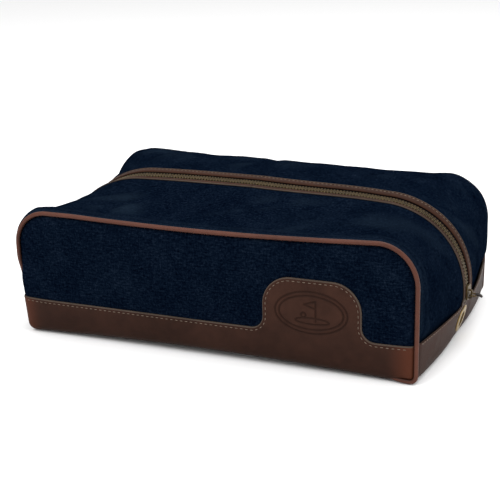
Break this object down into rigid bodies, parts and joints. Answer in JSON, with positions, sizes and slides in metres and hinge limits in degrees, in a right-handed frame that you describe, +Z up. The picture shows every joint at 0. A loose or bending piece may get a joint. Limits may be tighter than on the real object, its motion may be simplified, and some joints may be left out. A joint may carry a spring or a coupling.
{
  "type": "golf shoe bag",
  "caption": "Long box-shaped shoe bag of dark denim with a leather band round its foot, leather piping and a zip that runs over the top from end to end.",
  "frame": {"origin": "middle of the flat base, on the surface the bag stands on", "axes": "+X along the bag towards the closed end of its zip, -Y is the front with the trim's tab, +Z up"},
  "size_m": [0.4025, 0.2404, 0.1259],
  "materials": {
    "denim": "washed dark indigo denim, slubby weave",
    "leather": "smooth dark brown leather with a soft sheen",
    "piping_leather": "lighter brown leather piping",
    "pull_leather": "near-black leather",
    "zip_leather": "brown leather strips beside the zip, grey-brown cut edges",
    "zip_tape": "brown woven tape",
    "zip_metal": "antique brass",
    "brass": "worn brass",
    "cord": "twisted cotton cord",
    "lining": "plain woven lining",
    "board": "stiff base board"
  },
  "bodies": {
    "root": {"back_panel": "denim", "back_piping": "piping_leather", "back_piping_cord": "cord", "back_trim": "leather", "base_board": "board", "base_panel": "leather", "end_band_left": "leather", "end_band_right": "leather", "front_panel": "denim", "front_piping": "piping_leather", "front_piping_cord": "cord", "front_trim": "leather", "gusset_back_left": "denim", "gusset_back_right": "denim", "gusset_front_left": "denim", "gusset_front_right": "denim", "lining_back": "lining", "lining_back_left": "lining", "lining_back_right": "lining", "lining_base": "lining", "lining_end_left": "lining", "lining_end_right": "lining", "lining_front": "lining", "lining_front_left": "lining", "lining_front_right": "lining", "vent_eyelet_left": "brass", "vent_eyelet_right": "brass", "vent_washer_left": "brass", "vent_washer_right": "brass", "zip_stops_left": "zip_metal", "zip_stops_right": "zip_metal", "zip_strip_back_left": "zip_leather", "zip_strip_back_right": "zip_leather", "zip_strip_front_left": "zip_leather", "zip_strip_front_right": "zip_leather", "zip_tape_back_left": "zip_tape", "zip_tape_back_right": "zip_tape", "zip_tape_front_left": "zip_tape", "zip_tape_front_right": "zip_tape", "zip_teeth_back_left": "zip_metal", "zip_teeth_back_right": "zip_metal", "zip_teeth_front_left": "zip_metal", "zip_teeth_front_right": "zip_metal"},
    "front_flap": {"gusset_front_top": "denim", "lining_front_top": "lining", "zip_strip_front_top": "zip_leather", "zip_tape_front_top": "zip_tape", "zip_teeth_front_top": "zip_metal"},
    "back_flap": {"gusset_back_top": "denim", "lining_back_top": "lining", "zip_strip_back_top": "zip_leather", "zip_tape_back_top": "zip_tape", "zip_teeth_back_top": "zip_metal"},
    "slider": {"zip_slider": "zip_metal"},
    "pull": {"pull_loop": "zip_metal", "pull_tab": "pull_leather"}
  },
  "joints": [
    {"name": "front_flap_fold", "type": "hinge", "parent": "root", "child": "front_flap", "pos_m": [0, -0.11455, 0.11083], "axis": [1, 0, 0], "range_deg": [0, 40]},
    {"name": "back_flap_fold", "type": "hinge", "parent": "root", "child": "back_flap", "pos_m": [0, 0.11455, 0.11236], "axis": [-1, 0, 0], "range_deg": [0, 40]},
    {"name": "slider_travel", "type": "hinge", "parent": "root", "child": "slider", "pos_m": [0.112, 0, 0.0415], "axis": [0, -1, 0], "range_deg": [0, 45]},
    {"name": "pull_swing", "type": "hinge", "parent": "slider", "child": "pull", "pos_m": [0.1971, 0, 0.0396], "axis": [0, -1, 0], "range_deg": [-75, 45]}
  ]
}
